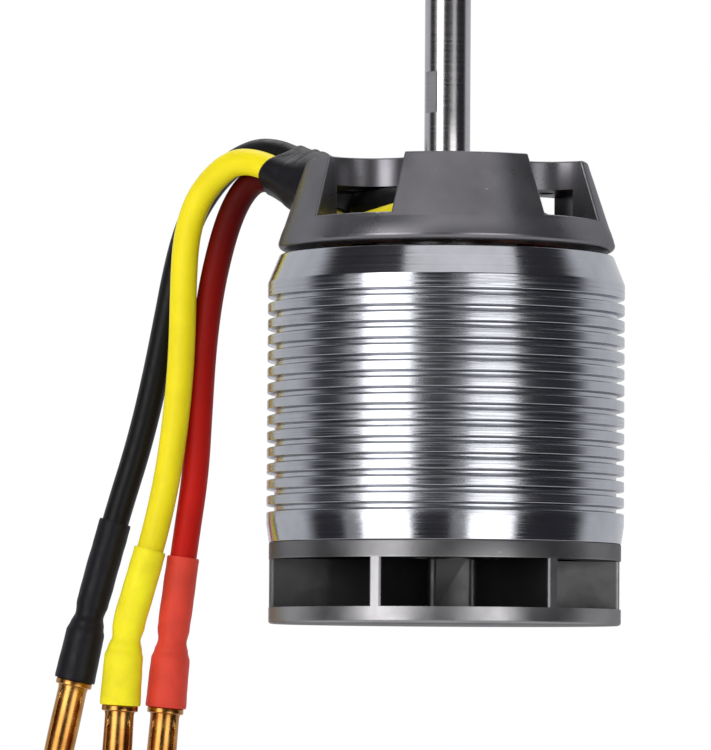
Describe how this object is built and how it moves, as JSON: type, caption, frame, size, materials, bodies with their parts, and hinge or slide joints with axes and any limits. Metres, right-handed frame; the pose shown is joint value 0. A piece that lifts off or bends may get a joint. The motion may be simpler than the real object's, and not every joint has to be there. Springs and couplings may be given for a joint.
{
  "type": "brushless outrunner motor",
  "caption": "Brushless outrunner motor with a ribbed rotor can, four-pillar mounting cap, fan bell, round output shaft and three silicone leads on bullet connectors.",
  "frame": {"origin": "centre of the mounting face, the flat top of the cap, on the shaft's axis", "axes": "+Z along the output shaft, out of the mounting face; -Y is the side the three-quarter front view looks at; the leads leave towards -X and hang along -Z"},
  "size_m": [0.0774, 0.0515, 0.1234],
  "materials": {
    "cap_anodised": "dark grey satin anodised aluminium",
    "carrier_aluminium": "turned aluminium",
    "lamination_steel": "stacked lamination steel, lacquered",
    "insulator_plastic": "black moulded end insulator",
    "copper_wire": "enamelled copper wire",
    "bearing_steel": "ground and polished bearing steel",
    "cage_plastic": "brown bearing cage",
    "black_shrink": "black heat-shrink tube",
    "yellow_shrink": "yellow heat-shrink tube",
    "red_shrink": "red heat-shrink tube",
    "yellow_silicone": "yellow silicone insulation",
    "black_silicone": "black silicone insulation",
    "red_silicone": "red silicone insulation",
    "gold_plating": "gold-plated bullet connector",
    "polished_steel": "polished and nickel-plated steel flux ring",
    "bell_anodised": "dark satin anodised aluminium",
    "shaft_steel": "ground hardened steel",
    "black_steel": "black oxide steel",
    "magnet_nickel": "nickel-plated neodymium"
  },
  "bodies": {
    "stator": {"mount_cap": "cap_anodised", "stator_tube": "carrier_aluminium", "stator_core": "lamination_steel", "front_slot_insulator": "insulator_plastic", "rear_slot_insulator": "insulator_plastic", "coil_01": "copper_wire", "coil_02": "copper_wire", "coil_03": "copper_wire", "coil_04": "copper_wire", "coil_05": "copper_wire", "coil_06": "copper_wire", "coil_07": "copper_wire", "coil_08": "copper_wire", "coil_09": "copper_wire", "coil_10": "copper_wire", "coil_11": "copper_wire", "coil_12": "copper_wire", "front_bearing_outer_race": "bearing_steel", "rear_bearing_outer_race": "bearing_steel", "lead_sleeve": "black_shrink", "yellow_inner_lead": "yellow_silicone", "black_inner_lead": "black_silicone", "red_inner_lead": "red_silicone", "yellow_lead": "yellow_silicone", "black_lead": "black_silicone", "red_lead": "red_silicone", "yellow_connector_shrink": "yellow_shrink", "black_connector_shrink": "black_shrink", "red_connector_shrink": "red_shrink", "yellow_bullet_pin": "gold_plating", "black_bullet_pin": "gold_plating", "red_bullet_pin": "gold_plating"},
    "rotor": {"rotor_can": "polished_steel", "magnet_01": "magnet_nickel", "magnet_02": "magnet_nickel", "magnet_03": "magnet_nickel", "magnet_04": "magnet_nickel", "magnet_05": "magnet_nickel", "magnet_06": "magnet_nickel", "magnet_07": "magnet_nickel", "magnet_08": "magnet_nickel", "magnet_09": "magnet_nickel", "magnet_10": "magnet_nickel", "fan_bell": "bell_anodised", "motor_shaft": "shaft_steel", "shaft_grub_screws": "black_steel", "front_bearing_inner_race": "bearing_steel", "rear_bearing_inner_race": "bearing_steel", "front_shim_washer": "shaft_steel", "rear_thrust_washer": "shaft_steel", "shaft_circlip": "black_steel"},
    "front_ball_set": {"front_bearing_cage": "cage_plastic", "front_bearing_balls": "bearing_steel"},
    "rear_ball_set": {"rear_bearing_cage": "cage_plastic", "rear_bearing_balls": "bearing_steel"}
  },
  "joints": [
    {"name": "rotor_spin", "type": "hinge", "parent": "stator", "child": "rotor", "pos_m": [0, 0, 0], "axis": [0, 0, 1], "continuous": true},
    {"name": "front_balls_orbit", "type": "hinge", "parent": "stator", "child": "front_ball_set", "pos_m": [0, 0, -0.0047], "axis": [0, 0, 1], "continuous": true},
    {"name": "rear_balls_orbit", "type": "hinge", "parent": "stator", "child": "rear_ball_set", "pos_m": [0, 0, -0.047], "axis": [0, 0, 1], "continuous": true}
  ],
  "couplings": [
    {"joint": "front_balls_orbit", "follows": "rotor_spin", "ratio": 0.384},
    {"joint": "rear_balls_orbit", "follows": "rotor_spin", "ratio": 0.384}
  ]
}
